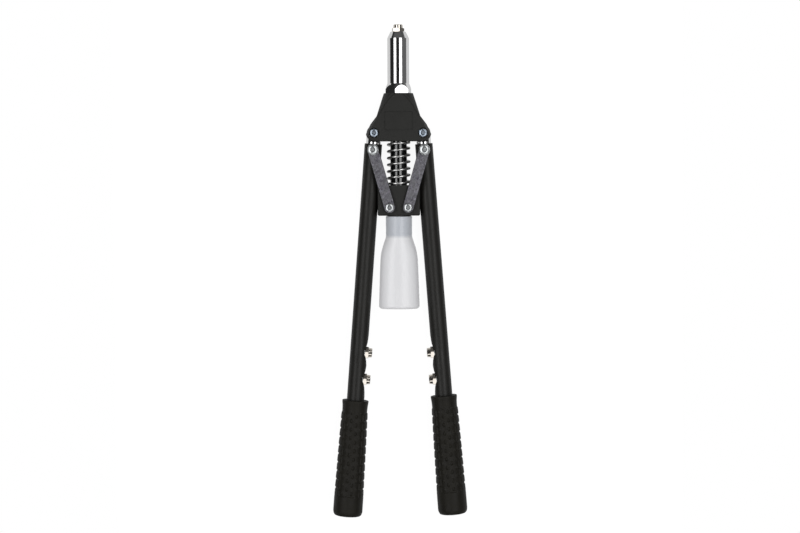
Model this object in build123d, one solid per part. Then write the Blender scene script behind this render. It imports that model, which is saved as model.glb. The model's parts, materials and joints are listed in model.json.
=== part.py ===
from build123d import *

import os
from math import atan2, cos, degrees, hypot, radians, sin, tan

# Long-arm, two-handed blind riveter, stored with its handles closed.
#
# Frame: the origin is the mouth of the fitted nosepiece's bore. +Y points out of the nose,
# +Z out of the front face, +X to the right of it. The tool's axis is the Y axis.
# Places along the tool are given as the distance back from the nose mouth, so y = -back.
# Places along a handle are distances from its pivot pin, measured down the tube.
# A side is -1 for the left handle and +1 for the right one.

SIDES = {"left": -1, "right": 1}

# Places back from the nose mouth
SLEEVE_FRONT = 7.9
SLEEVE_CONE_END = 15.0
SLEEVE_HEX_FRONT = 63.6
SLEEVE_HEX_FULL = 69.9
HEAD_TOP = 74.1
SPIGOT_END = 88.0
HEAD_KINK = 98.9
PIVOT_BACK = 117.0
EAR_RADIUS = 8.9
HEAD_BOTTOM = PIVOT_BACK + EAR_RADIUS
YOKE_TOP = 173.4
YOKE_PIN_BACK = 197.4
YOKE_BOTTOM = 206.3
COLLAR_END = 206.9
YOKE_SPIGOT_END = 225.0
ROD_END = 192.0

# Fits: radial room of a screwed or pressed joint, and of a turning one
FIT = 0.05
TURNING_FIT = 0.07

# How far cutting shapes run past the faces that they cut
CUT = 1.0
BEYOND = 20.0

# Barrel, pull rod and jaws
SLEEVE_RADIUS = 11.75
SLEEVE_TIP_RADIUS = 8.3
SLEEVE_FLATS = 25.0
SLEEVE_HEX_TURN = -16.0
SPIGOT_RADIUS = 11.0
SPIGOT_CHAMFER = 0.8
CHAMBER_RADIUS = 9.1
CHAMBER_RAMP = 3.0
CHAMBER_STEP = 1.0
ROD_RADIUS = 9.0
ROD_END_RADIUS = 8.0
MANDREL_RADIUS = 3.2
CASE_FRONT = 35.4
CASE_BACK = 62.9
CASE_THREAD_RADIUS = 7.0
CASE_THREAD_LENGTH = 8.0
CASE_CONE_END = 53.9
CASE_RELIEF = 1.0
CASE_EDGE = (1.5, 2.5)
LOCK_RING_LENGTH = 3.2
LOCK_RING_NOTCH = (2.4, 1.6)
JAW_FRONT = 36.9
JAW_LENGTH = 11.0
JAW_CONE_ANGLE = 9.0
JAW_FRONT_RADIUS = 4.9
JAW_BORE_RADIUS = 1.35
JAW_GAP = 0.5
JAW_PLAY = 0.1
JAW_TEETH = 8
JAW_TOOTH = 0.4
JAW_FRONT_EDGE = (0.8, 0.6)
JAW_REAR_EDGE = 1.4
PUSHER_HEAD = 2.6
PUSHER_HEAD_RADIUS = 5.4
PUSHER_TUBE_RADIUS = 2.9
PUSHER_TUBE_LENGTH = 10.0
PUSHER_BORE_RADIUS = 2.3
PUSHER_SPRING_RADIUS = 3.9
PUSHER_WIRE_RADIUS = 0.45
PUSHER_SPRING_TURNS = 9
SPRING_SEAT_BACK = 74.9
SPRING_SEAT_RADIUS = 4.6

# Head and yoke castings
HEAD_HALF_THICKNESS = 15.25
HEAD_RIM_FILLET = 1.2
BOSS_RADIUS = 15.8
BOSS_CONE_ANGLE = 24.4
KINK_HALF_WIDTH = 23.5
PIVOT_X = 26.4
SLOT_HALF_WIDTH = 6.2
SLOT_INNER_X = 17.4
SLOT_ROOM = 9.0
NUT_POCKET_RADIUS = 5.6
PIN_POCKET_RADIUS = 5.8
LABEL_SIZE = (30.4, 20.0)
LABEL_CORNER = 1.0
LABEL_BACK = 104.0
LABEL_DEPTH = 0.25
LABEL_FRAME = (0.7, 0.7)
CREASE_SIZE = (0.8, 0.8)
YOKE_HALF_WIDTH = 22.95
YOKE_HALF_THICKNESS = 13.0
YOKE_FILLET = 1.8
YOKE_CHAMFER = 1.2
YOKE_NEST_ROOM = 0.4
YOKE_PIN_X = 10.0
COLLAR_RADIUS = 13.3
YOKE_SPIGOT_RADIUS = 11.8
YOKE_SPIGOT_RIB = 0.7
YOKE_SPIGOT_RIBS = 3
YOKE_SPIGOT_EDGE = 1.0
YOKE_RIB_PITCH = 2.4
FUNNEL_START = 210.0
FUNNEL_RADIUS = 9.0

# Handles
HANDLE_TILT = 4.3
TUBE_RADIUS = 9.5
TUBE_BORE_RADIUS = 8.0
TUBE_START = 11.7
TUBE_END = 410.5
LUG_HALF_THICKNESS = 6.0
LUG_EYE_RADIUS = 8.1
LUG_NECK_START = 9.65
LUG_END = 46.0
LUG_SHANK_RADIUS = 7.95
LUG_END_CHAMFER = 1.5
LINK_PIN_ALONG = 18.15
OPEN_PIVOT_RADIUS = 4.7
GRIP_WALL = 5.0
GRIPS = {"left": (290.9, 417.6), "right": (286.1, 415.8)}

# Spare nosepieces: distance down the tube, radius of the bore
SPARES = {
    "left": {"front": (238.2, 1.25), "rear": (267.5, 1.65)},
    "right": {"front": (238.2, 2.0), "rear": (267.5, 2.3)},
}
SPARE_TURN = 21.0

# Dimples pressed in the tubes: (radius, depth below the side of the tube), and the floor's place
DIMPLE_DISH = [(19.0, 0.0), (14.2, 0.35), (10.3, 0.9), (8.0, 1.9)]
DIMPLE_FLOOR = 5.1
DIMPLE_FLOOR_RADIUS = 7.3
DIMPLE_METAL = 1.4
DIMPLE_HOLE_RADIUS = 5.8
INSERT_FLANGE = 1.5
INSERT_FLANGE_RADIUS = 6.5
INSERT_RADIUS = 5.75
INSERT_INNER_END = 1.5

# Links and their bolts
LINK_WIDTH = 11.8
LINK_EDGE = 1.0
LINK_INNER_Z = 13.3
LINK_OUTER_Z = 17.3
PIN_RADIUS = 3.25
PIN_THREAD_RADIUS = 2.2
PIN_NUT_FLATS = 8.4
PIN_NUT_HEIGHT = 5.0
PIN_PLAY = 0.1
PIN_TIP = 0.7
PIN_SOCKET = (1.5, 1.6)
HEAD_PIN_HEAD = (5.4, 4.2, -10.6)
HEAD_NUT_SEAT = 13.0
YOKE_PIN_HEAD = (5.2, 2.7, -LINK_OUTER_Z - PIN_PLAY)
LINK_BOLT_RADIUS = 2.5
LINK_BOLT_HEAD = (5.25, 3.3)
LINK_BOLT_SOCKET = (2.0, 2.0)
LINK_NUT_FLATS = 10.0
LINK_NUT_HEIGHT = 6.0
SPACER_RADIUS = 5.8
WASHER_RADIUS = 6.2
WASHER_THICKNESS = 1.0
WASHER_CHAMFER = 0.25
SPACER_GAP = 0.3
TIP_CHAMFER = 0.6

# Heads: pins as (inset, rise) in shares of the height, bolts as (radius, rise) in shares of each
PIN_HEAD_OUTLINE = [(0.45, 0.0), (0.12, 0.45), (0.0, 0.85)]
BUTTON_HEAD_OUTLINE = [(0.66, 0.0), (0.89, 0.4), (1.0, 0.82)]

LINK_NUT_SEAT = LINK_OUTER_Z + WASHER_THICKNESS

# Lock nuts, as shares of the size across their flats or of their height
NUT_HEX_SHARE = 0.66
NUT_COLLAR_SHARE = 0.465
NUT_DOME_SHARE = 1.1
NUT_RING_WALL = 0.7
NUT_LIP = 1.0
NUT_LIP_GAP = 0.3

# Return spring
SPRING_RADIUS = 11.55
SPRING_WIRE_RADIUS = 1.3
SPRING_TURNS = 6

# Nosepiece
NOSE_FRONT_RADIUS = 4.95
NOSE_FRONT_LENGTH = 3.9
NOSE_FLATS = 12.0
NOSE_SHANK_RADIUS = 4.95
NOSE_SHANK_END = 17.0
NOSE_CONE_END = 21.0
NOSE_CONE_RADIUS = 2.9
NOSE_TURN = 17.0
NOSE_BORE_RADIUS = 1.6
NOSE_EDGE = 0.5
NOSE_FLARE = 0.25
NOSE_RELIEF = 0.6
NOSE_RELIEF_LENGTH = 1.2
BORE_EDGE = 0.3

# Bottle
BOTTLE_NECK_RADIUS = 14.2
BOTTLE_NECK_END = 228.8
BOTTLE_WALL = 1.3
BOTTLE_END = 307.6
BOTTLE_START = 207.2
BOTTLE_CORNER = 3.8
BOTTLE_SHOULDER = [(228.2, 14.2), (235.0, 16.1), (242.2, 18.4), (248.7, 19.75), (255.2, 20.35)]
BOTTLE_FOOT_HALF_WIDTH = 22.2

# Grip: (distance down the grip, outer radius)
GRIP_PROFILE = [(0, 13.7), (0.5, 14.2), (10.5, 14.3), (44, 15.2), (88, 15.8)]
GRIP_END_ROUND = [(6, 16.2), (3.4, 16.2), (1, 15.2), (0, 12.8)]


def turned(points):
    """Solid of revolution on the tool's axis, from (radius, distance back) points."""
    outline = Polyline(*[(radius, -back) for radius, back in points], close=True)
    return revolve(make_face(outline), Axis.Y)


def turned_z(points):
    """Solid of revolution about Z, from (radius, z) points."""
    outline = Polyline(*[(radius, 0, z) for radius, z in points], close=True)
    return revolve(make_face(outline), Axis.Z)


def rod_y(radius, start, end):
    """Round bar on the tool's axis between two distances back."""
    return turned([(0, start), (radius, start), (radius, end), (0, end)])


def rod_z(x, y, radius, low, high):
    """Round bar along Z."""
    middle = (low + high) / 2
    return Pos(x, y, middle) * Cylinder(radius, high - low)


def hex_y(flats, start, end, turn):
    """Plain hexagon bar on the tool's axis."""
    outline = RegularPolygon(flats / 2, 6, major_radius=False, rotation=turn)
    return extrude(Plane((0, -start, 0), x_dir=(1, 0, 0), z_dir=(0, -1, 0)) * outline, end - start)


def corner_radius(flats):
    """Radius over the corners of a hexagon."""
    return flats / 2 / cos(radians(30))


def handle_place(side):
    """Frame of a handle: origin at its pivot pin, -Y down the tube."""
    return Pos(side * PIVOT_X, -PIVOT_BACK, 0) * Rot(0, 0, side * HANDLE_TILT)


def on_handle(side, along):
    """Point (x, y) on a handle's axis at a distance from its pivot pin."""
    tilt = radians(HANDLE_TILT)
    return side * (PIVOT_X + along * sin(tilt)), -PIVOT_BACK - along * cos(tilt)


# Barrel group

def nosepiece(bore_radius, turn):
    """Nosepiece with its mouth at the origin: round front, hexagon, screwed shank, jaw cone."""
    relief_radius = NOSE_SHANK_RADIUS - NOSE_RELIEF
    relief_end = SLEEVE_FRONT + NOSE_RELIEF_LENGTH
    turned_part = turned([
        (0, 0),
        (NOSE_FRONT_RADIUS - NOSE_EDGE, 0),
        (NOSE_FRONT_RADIUS, NOSE_EDGE),
        (NOSE_FRONT_RADIUS + NOSE_FLARE, NOSE_FRONT_LENGTH),
        (relief_radius, NOSE_FRONT_LENGTH),
        (relief_radius, relief_end),
        (NOSE_SHANK_RADIUS, relief_end + NOSE_RELIEF),
        (NOSE_SHANK_RADIUS, NOSE_SHANK_END - NOSE_RELIEF),
        (relief_radius, NOSE_SHANK_END),
        (NOSE_CONE_RADIUS, NOSE_CONE_END),
        (0, NOSE_CONE_END),
    ])
    corner = corner_radius(NOSE_FLATS)
    edge = (corner - NOSE_FLATS / 2) * tan(radians(30))
    blank = turned([
        (0, NOSE_FRONT_LENGTH),
        (NOSE_FLATS / 2, NOSE_FRONT_LENGTH),
        (corner, NOSE_FRONT_LENGTH + edge),
        (corner, SLEEVE_FRONT - edge),
        (NOSE_FLATS / 2, SLEEVE_FRONT),
        (0, SLEEVE_FRONT),
    ])
    hexagon = hex_y(NOSE_FLATS, NOSE_FRONT_LENGTH, SLEEVE_FRONT, turn) & blank
    mouth = turned([(0, 0), (bore_radius + BORE_EDGE, 0), (bore_radius, BORE_EDGE), (0, BORE_EDGE)])
    return turned_part + hexagon - rod_y(bore_radius, 0, NOSE_CONE_END) - mouth


def barrel_sleeve():
    """Chromed sleeve: cone, plain barrel, spanner hexagon and the spigot that screws into the head."""
    outside = turned([
        (0, SLEEVE_FRONT),
        (SLEEVE_TIP_RADIUS, SLEEVE_FRONT),
        (SLEEVE_RADIUS, SLEEVE_CONE_END),
        (SLEEVE_RADIUS, SLEEVE_HEX_FRONT),
        (SPIGOT_RADIUS, SLEEVE_HEX_FRONT),
        (SPIGOT_RADIUS, SPIGOT_END - SPIGOT_CHAMFER),
        (SPIGOT_RADIUS - SPIGOT_CHAMFER, SPIGOT_END),
        (0, SPIGOT_END),
    ])
    corner = corner_radius(SLEEVE_FLATS)
    blank = turned([
        (0, SLEEVE_HEX_FRONT),
        (SLEEVE_RADIUS, SLEEVE_HEX_FRONT),
        (corner, SLEEVE_HEX_FULL),
        (corner, HEAD_TOP),
        (0, HEAD_TOP),
    ])
    hexagon = hex_y(SLEEVE_FLATS, SLEEVE_HEX_FRONT, HEAD_TOP, SLEEVE_HEX_TURN) & blank
    thread = rod_y(NOSE_SHANK_RADIUS + FIT, SLEEVE_FRONT, NOSE_SHANK_END)
    chamber = turned([
        (0, NOSE_SHANK_END),
        (NOSE_SHANK_RADIUS + CHAMBER_STEP, NOSE_SHANK_END),
        (CHAMBER_RADIUS, NOSE_SHANK_END + CHAMBER_RAMP),
        (CHAMBER_RADIUS, SPIGOT_END),
        (0, SPIGOT_END),
    ])
    return outside + hexagon - thread - chamber


# Head group

def head_outline():
    """Front outline of the head: a trapezium over two ears round the pivots."""
    shoulders = make_face(Polyline(
        (-BOSS_RADIUS, -HEAD_TOP),
        (BOSS_RADIUS, -HEAD_TOP),
        (KINK_HALF_WIDTH, -HEAD_KINK),
        (-KINK_HALF_WIDTH, -HEAD_KINK),
        close=True,
    ))
    ears = [Pos(side * PIVOT_X, -PIVOT_BACK) * Circle(EAR_RADIUS) for side in SIDES.values()]
    kinks = Line((-KINK_HALF_WIDTH, -HEAD_KINK), (KINK_HALF_WIDTH, -HEAD_KINK))
    skirt = make_hull([*ears[0].edges(), *ears[1].edges(), *kinks.edges()])
    return shoulders + skirt


def head_casting():
    """Head: cast clevis whose round boss runs out into a flat front, with a slot for each lever."""
    block = extrude(head_outline(), HEAD_HALF_THICKNESS, both=True)
    rims = [edge for face in block.faces().filter_by(Plane.XY) for edge in face.edges()]
    block = fillet([edge for edge in rims if edge.center().Y < -HEAD_TOP - CUT], HEAD_RIM_FILLET)
    reach = HEAD_BOTTOM + CUT - HEAD_TOP
    cone = turned([
        (0, HEAD_TOP),
        (BOSS_RADIUS, HEAD_TOP),
        (BOSS_RADIUS + reach * tan(radians(BOSS_CONE_ANGLE)), HEAD_TOP + reach),
        (0, HEAD_TOP + reach),
    ])
    body = block & cone
    body -= rod_y(SPIGOT_RADIUS + FIT, HEAD_TOP, SPIGOT_END + FIT)
    body -= rod_y(CHAMBER_RADIUS, SPIGOT_END, HEAD_BOTTOM + CUT)
    slot_height = SLOT_ROOM + EAR_RADIUS + BEYOND
    slot_middle = PIVOT_BACK - SLOT_ROOM + slot_height / 2
    for side in SIDES.values():
        slot = Box(BEYOND, slot_height, 2 * SLOT_HALF_WIDTH)
        body -= Pos(side * (SLOT_INNER_X + BEYOND / 2), -slot_middle, 0) * slot
        x, y = side * PIVOT_X, -PIVOT_BACK
        body -= rod_z(x, y, PIN_RADIUS + FIT, -BEYOND, BEYOND)
        body -= rod_z(x, y, NUT_POCKET_RADIUS, HEAD_NUT_SEAT, BEYOND)
        body -= rod_z(x, y, PIN_POCKET_RADIUS, -BEYOND, HEAD_PIN_HEAD[2])
    return body - flank_creases() - label_recess()


def flank_creases():
    """Groove where the conical flanks run into the flat front and back."""
    width, depth = CREASE_SIZE
    reach = HEAD_KINK - HEAD_TOP
    rise = reach * tan(radians(BOSS_CONE_ANGLE))
    shell = turned([
        (BOSS_RADIUS - width, HEAD_TOP),
        (BOSS_RADIUS + width, HEAD_TOP),
        (BOSS_RADIUS + width + rise, HEAD_KINK),
        (BOSS_RADIUS - width + rise, HEAD_KINK),
    ])
    core = Box(4 * PIVOT_X, 2 * HEAD_BOTTOM, 2 * (HEAD_HALF_THICKNESS - depth))
    return shell - core


def label_recess():
    """Shallow blank panel on the front, framed by a groove."""
    frame_width, frame_depth = LABEL_FRAME
    width, height = LABEL_SIZE
    face = Pos(0, -LABEL_BACK, HEAD_HALF_THICKNESS)
    panel = RectangleRounded(width, height, LABEL_CORNER)
    inner = RectangleRounded(width - 2 * frame_width, height - 2 * frame_width, LABEL_CORNER / 2)
    return extrude(face * panel, -LABEL_DEPTH) + extrude(face * (panel - inner), -frame_depth)


def socket_z(place, half_flats, depth):
    """Hexagon socket cut upwards from a pin head's lower face."""
    return Pos(0, 0, place) * extrude(RegularPolygon(half_flats, 6, major_radius=False), depth)


def round_pin(x, y, head, shank_end, tip):
    """Round-headed pivot pin along Z; head is (radius, height, z of its underside)."""
    head_radius, head_height, seat = head
    face = seat - head_height
    pin = turned_z([
        (0, face),
        *[(head_radius - head_height * inset, face + head_height * rise) for inset, rise in PIN_HEAD_OUTLINE],
        (head_radius, seat),
        (PIN_RADIUS, seat),
        (PIN_RADIUS, shank_end),
        (PIN_THREAD_RADIUS, shank_end),
        (PIN_THREAD_RADIUS, tip - TIP_CHAMFER),
        (PIN_THREAD_RADIUS - TIP_CHAMFER, tip),
        (0, tip),
    ])
    return Pos(x, y, 0) * (pin - socket_z(face, *PIN_SOCKET))


def lock_nut(x, y, base, flats, height, thread_radius, turn):
    """Nylon-insert lock nut along Z: chamfered hexagon under a domed collar."""
    hex_height = height * NUT_HEX_SHARE
    collar = flats * NUT_COLLAR_SHARE
    corner = corner_radius(flats)
    edge = (corner - collar) * tan(radians(30))
    blank = turned_z([
        (0, 0),
        (collar, 0),
        (corner, edge),
        (corner, hex_height - edge),
        (collar, hex_height),
        (collar, height),
        (0, height),
    ])
    hexagon = extrude(RegularPolygon(flats / 2, 6, major_radius=False, rotation=turn), height)
    ball = flats * NUT_DOME_SHARE
    dome = Pos(0, 0, height - ball) * Sphere(ball)
    ring_radius = thread_radius + NUT_RING_WALL
    lip_radius = thread_radius + NUT_LIP_GAP
    bore = turned_z([
        (0, -CUT),
        (thread_radius, -CUT),
        (thread_radius, hex_height),
        (ring_radius, hex_height),
        (ring_radius, height - NUT_LIP),
        (lip_radius, height - NUT_LIP),
        (lip_radius, height + CUT),
        (0, height + CUT),
    ])
    return Pos(x, y, base) * ((hexagon & blank & dome) - bore)


def nut_ring(x, y, base, height, thread_radius):
    """Nylon ring held in the collar of a lock nut."""
    low = base + height * NUT_HEX_SHARE
    high = base + height - NUT_LIP
    ring = rod_z(x, y, thread_radius + NUT_RING_WALL, low, high)
    return ring - rod_z(x, y, thread_radius, low - CUT, high + CUT)


def head_pins():
    """Two pivot pins through the ears, heads at the back."""
    tip = HEAD_NUT_SEAT + PIN_NUT_HEIGHT + PIN_TIP
    shape = (HEAD_PIN_HEAD, HEAD_NUT_SEAT, tip)
    return [round_pin(side * PIVOT_X, -PIVOT_BACK, *shape) for side in SIDES.values()]


def yoke_pins():
    """Two pivot pins through the yoke and the lower ends of the links."""
    seat = LINK_OUTER_Z + PIN_PLAY
    shape = (YOKE_PIN_HEAD, seat, seat + PIN_NUT_HEIGHT + PIN_TIP)
    return [round_pin(side * YOKE_PIN_X, -YOKE_PIN_BACK, *shape) for side in SIDES.values()]


def pin_nuts(x, back, base, turns):
    """The pair of lock nuts on a pair of pivot pins."""
    nuts = []
    for side, turn in zip(SIDES.values(), turns):
        place = (side * x, -back, base, PIN_NUT_FLATS, PIN_NUT_HEIGHT, PIN_THREAD_RADIUS)
        nuts.append(lock_nut(*place, turn))
    return nuts


def pin_nut_rings(x, back, base):
    """The nylon rings of a pair of pivot nuts."""
    size = (PIN_NUT_HEIGHT, PIN_THREAD_RADIUS)
    return [nut_ring(side * x, -back, base, *size) for side in SIDES.values()]


def coil_spring(radius, wire_radius, turns, front, back, start):
    """Compression spring on the tool's axis, its wire's centre running from front to back."""
    height = back - front
    line = Helix(pitch=height / turns, height=height, radius=radius)
    section = Plane(origin=line @ 0, z_dir=line % 0) * Circle(wire_radius)
    coil = sweep(section, path=line, is_frenet=True)
    return Pos(0, -back, 0) * Rot(-90, 0, 0) * Rot(0, 0, start) * coil


def return_spring():
    """Open-coiled compression spring between the head and the yoke."""
    front = HEAD_BOTTOM + SPRING_WIRE_RADIUS
    back = YOKE_TOP - SPRING_WIRE_RADIUS
    return coil_spring(SPRING_RADIUS, SPRING_WIRE_RADIUS, SPRING_TURNS, front, back, -90)


# Yoke group

def yoke_spigot():
    """Outline of the collar and the ribbed spigot below the yoke's block."""
    outline = [
        (0, YOKE_BOTTOM - CUT),
        (COLLAR_RADIUS, YOKE_BOTTOM - CUT),
        (COLLAR_RADIUS, COLLAR_END),
        (YOKE_SPIGOT_RADIUS, COLLAR_END),
    ]
    for rib in range(YOKE_SPIGOT_RIBS):
        back = COLLAR_END + YOKE_RIB_PITCH * (rib + 1)
        outline += [
            (YOKE_SPIGOT_RADIUS, back),
            (YOKE_SPIGOT_RADIUS + YOKE_SPIGOT_RIB, back + YOKE_SPIGOT_RIB),
            (YOKE_SPIGOT_RADIUS, back + 2 * YOKE_SPIGOT_RIB),
        ]
    outline += [
        (YOKE_SPIGOT_RADIUS, YOKE_SPIGOT_END - YOKE_SPIGOT_EDGE),
        (YOKE_SPIGOT_RADIUS - YOKE_SPIGOT_EDGE, YOKE_SPIGOT_END),
        (0, YOKE_SPIGOT_END),
    ]
    return turned(outline)


def yoke():
    """Yoke casting: block with a scallop for each tube, and the spigot that holds the bottle."""
    height = YOKE_BOTTOM - YOKE_TOP
    block = Box(2 * YOKE_HALF_WIDTH, height, 2 * YOKE_HALF_THICKNESS)
    block = fillet(block.edges().filter_by(Axis.Y), YOKE_FILLET)
    lower = block.faces().sort_by(Axis.Y)[0].edges()
    outer = YOKE_HALF_WIDTH - YOKE_FILLET / 2
    block = chamfer([edge for edge in lower if abs(edge.center().X) > outer], YOKE_CHAMFER)
    body = Pos(0, -(YOKE_TOP + YOKE_BOTTOM) / 2, 0) * block
    for side in SIDES.values():
        nest = Cylinder(TUBE_RADIUS + YOKE_NEST_ROOM, 2 * YOKE_BOTTOM, rotation=(90, 0, 0))
        body -= handle_place(side) * nest
    body += yoke_spigot()
    body -= rod_y(ROD_END_RADIUS + FIT, YOKE_TOP - CUT, ROD_END + FIT)
    body -= turned([
        (0, ROD_END - CUT),
        (MANDREL_RADIUS, ROD_END - CUT),
        (MANDREL_RADIUS, FUNNEL_START),
        (FUNNEL_RADIUS, YOKE_SPIGOT_END),
        (FUNNEL_RADIUS, YOKE_SPIGOT_END + CUT),
        (0, YOKE_SPIGOT_END + CUT),
    ])
    for side in SIDES.values():
        body -= rod_z(side * YOKE_PIN_X, -YOKE_PIN_BACK, PIN_RADIUS + FIT, -BEYOND, BEYOND)
    return body


def pull_rod():
    """Hollow pull rod: front end screwed into the jaw case, rear end into the yoke."""
    front = CASE_BACK - CASE_THREAD_LENGTH
    outside = turned([
        (0, front),
        (CASE_THREAD_RADIUS, front),
        (CASE_THREAD_RADIUS, CASE_BACK),
        (ROD_RADIUS, CASE_BACK),
        (ROD_RADIUS, YOKE_TOP),
        (ROD_END_RADIUS, YOKE_TOP),
        (ROD_END_RADIUS, ROD_END - SPIGOT_CHAMFER),
        (ROD_END_RADIUS - SPIGOT_CHAMFER, ROD_END),
        (0, ROD_END),
    ])
    seat = rod_y(SPRING_SEAT_RADIUS, front - CUT, SPRING_SEAT_BACK)
    return outside - seat - rod_y(MANDREL_RADIUS, front - CUT, ROD_END + CUT)


def jaw_outer_radius(back):
    """Radius of the cone that the jaws slide on."""
    return JAW_FRONT_RADIUS + (back - JAW_FRONT) * tan(radians(JAW_CONE_ANGLE))


def jaw_case():
    """Steel case on the front of the pull rod, with the cone that closes the jaws."""
    edge_radius, edge_length = CASE_EDGE
    back = CASE_BACK - LOCK_RING_LENGTH
    outside = turned([
        (0, CASE_FRONT),
        (ROD_RADIUS - edge_radius, CASE_FRONT),
        (ROD_RADIUS, CASE_FRONT + edge_length),
        (ROD_RADIUS, back),
        (0, back),
    ])
    inside = turned([
        (0, CASE_FRONT - CUT),
        (jaw_outer_radius(CASE_FRONT - CUT) + JAW_PLAY, CASE_FRONT - CUT),
        (jaw_outer_radius(CASE_CONE_END) + JAW_PLAY, CASE_CONE_END),
        (CASE_THREAD_RADIUS, CASE_CONE_END + CASE_RELIEF),
        (CASE_THREAD_RADIUS, CASE_BACK),
        (0, CASE_BACK),
    ])
    return outside - inside


def case_lock_ring():
    """Ring nut that locks the jaw case on the pull rod."""
    ring = turned([
        (CASE_THREAD_RADIUS, CASE_BACK - LOCK_RING_LENGTH),
        (ROD_RADIUS, CASE_BACK - LOCK_RING_LENGTH),
        (ROD_RADIUS, CASE_BACK),
        (CASE_THREAD_RADIUS, CASE_BACK),
    ])
    width, depth = LOCK_RING_NOTCH
    for turn in range(4):
        notch = Pos(0, LOCK_RING_LENGTH / 2 - CASE_BACK, ROD_RADIUS) * Box(width, depth, depth)
        ring -= Rot(0, 90 * turn, 0) * notch
    return ring


def jaw(index):
    """One of the three jaws: a third of a cone with a toothed bore."""
    back = JAW_FRONT + JAW_LENGTH
    edge_width, edge_length = JAW_FRONT_EDGE
    cone = turned([
        (JAW_BORE_RADIUS, JAW_FRONT + edge_length),
        (JAW_BORE_RADIUS + edge_width, JAW_FRONT),
        (jaw_outer_radius(JAW_FRONT), JAW_FRONT),
        (jaw_outer_radius(back), back),
        (JAW_BORE_RADIUS + JAW_REAR_EDGE, back),
        (JAW_BORE_RADIUS, back - JAW_REAR_EDGE),
    ])
    for tooth in range(JAW_TEETH):
        place = JAW_FRONT + JAW_REAR_EDGE + tooth
        cone -= turned([
            (0, place),
            (JAW_BORE_RADIUS, place),
            (JAW_BORE_RADIUS + JAW_TOOTH, place + JAW_TOOTH),
            (JAW_BORE_RADIUS, place + 2 * JAW_TOOTH),
            (0, place + 2 * JAW_TOOTH),
        ])
    spread = BEYOND * tan(radians(60))
    wedge = make_face(Polyline((0, 0), (BEYOND, -spread), (BEYOND, spread), close=True))
    front = Plane((0, CUT - JAW_FRONT, 0), x_dir=(1, 0, 0), z_dir=(0, -1, 0))
    wedge_bar = extrude(front * wedge, JAW_LENGTH + 2 * CUT)
    wedge_bar = Pos(JAW_GAP / 2 / sin(radians(60)), 0, 0) * wedge_bar
    return Rot(0, 120 * index + 90, 0) * (cone & wedge_bar)


def jaw_pusher():
    """Conical pusher behind the jaws, with the tube that guides the pusher spring."""
    front = JAW_FRONT + JAW_LENGTH + JAW_PLAY
    head_end = front + PUSHER_HEAD
    return turned([
        (PUSHER_BORE_RADIUS, front),
        (PUSHER_HEAD_RADIUS, front),
        (PUSHER_HEAD_RADIUS, head_end),
        (PUSHER_TUBE_RADIUS, head_end),
        (PUSHER_TUBE_RADIUS, head_end + PUSHER_TUBE_LENGTH),
        (PUSHER_BORE_RADIUS, head_end + PUSHER_TUBE_LENGTH),
    ])


def pusher_spring():
    """Spring that keeps the jaws forward, seated in the front of the pull rod."""
    front = JAW_FRONT + JAW_LENGTH + JAW_PLAY + PUSHER_HEAD + PUSHER_WIRE_RADIUS
    back = SPRING_SEAT_BACK - PUSHER_WIRE_RADIUS
    return coil_spring(PUSHER_SPRING_RADIUS, PUSHER_WIRE_RADIUS, PUSHER_SPRING_TURNS, front, back, 0)


# Handle groups

def lever_lug(side):
    """Plated lug: round bar with an eye between two flats, pressed into the tube."""
    flats = Box(2 * BEYOND, 2 * BEYOND, 2 * LUG_HALF_THICKNESS)
    neck = rod_y(LUG_SHANK_RADIUS, 0, LUG_NECK_START) & flats
    eye = Cylinder(LUG_EYE_RADIUS, 2 * LUG_HALF_THICKNESS) + neck
    shank = turned([
        (0, LUG_NECK_START),
        (LUG_SHANK_RADIUS, LUG_NECK_START),
        (LUG_SHANK_RADIUS, LUG_END - LUG_END_CHAMFER),
        (LUG_SHANK_RADIUS - LUG_END_CHAMFER, LUG_END),
        (0, LUG_END),
    ])
    body = eye + shank
    body -= rod_z(0, 0, PIN_RADIUS + TURNING_FIT, -BEYOND, BEYOND)
    body -= rod_z(0, -LINK_PIN_ALONG, OPEN_PIVOT_RADIUS, -BEYOND, BEYOND)
    return handle_place(side) * body


def dimple_tools(side, along):
    """Shapes for one dimple on the inner side of a tube: the cup to keep, the dish and the hole to cut."""
    inward = Pos(0, -along, 0) * Rot(0, 0, side * 90)
    outline = [(radius, depth - TUBE_RADIUS) for radius, depth in DIMPLE_DISH]
    outline += [(DIMPLE_FLOOR_RADIUS, -DIMPLE_FLOOR)]
    under = [(radius + DIMPLE_METAL, place + DIMPLE_METAL) for radius, place in outline]
    dish = inward * turned([
        (0, -BEYOND),
        (outline[0][0], -BEYOND),
        *outline,
        (0, -DIMPLE_FLOOR),
    ])
    cup = inward * turned([
        (0, -BEYOND),
        (under[0][0], -BEYOND),
        *under,
        (0, DIMPLE_METAL - DIMPLE_FLOOR),
    ])
    hole = inward * rod_y(DIMPLE_HOLE_RADIUS, -BEYOND, 0)
    return cup, dish, hole


def handle_tube(side, spares):
    """Steel handle tube with the bolt hole and a dimple for each spare nosepiece."""
    outside = rod_y(TUBE_RADIUS, TUBE_START, TUBE_END)
    inside = rod_y(TUBE_BORE_RADIUS, TUBE_START - CUT, TUBE_END + CUT)
    tools = [dimple_tools(side, along) for along, _ in spares.values()]
    for cup, _, _ in tools:
        inside -= cup
    body = outside - inside
    for _, dish, hole in tools:
        body = body - dish - hole
    body -= rod_z(0, -LINK_PIN_ALONG, OPEN_PIVOT_RADIUS, -BEYOND, BEYOND)
    return handle_place(side) * body


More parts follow.
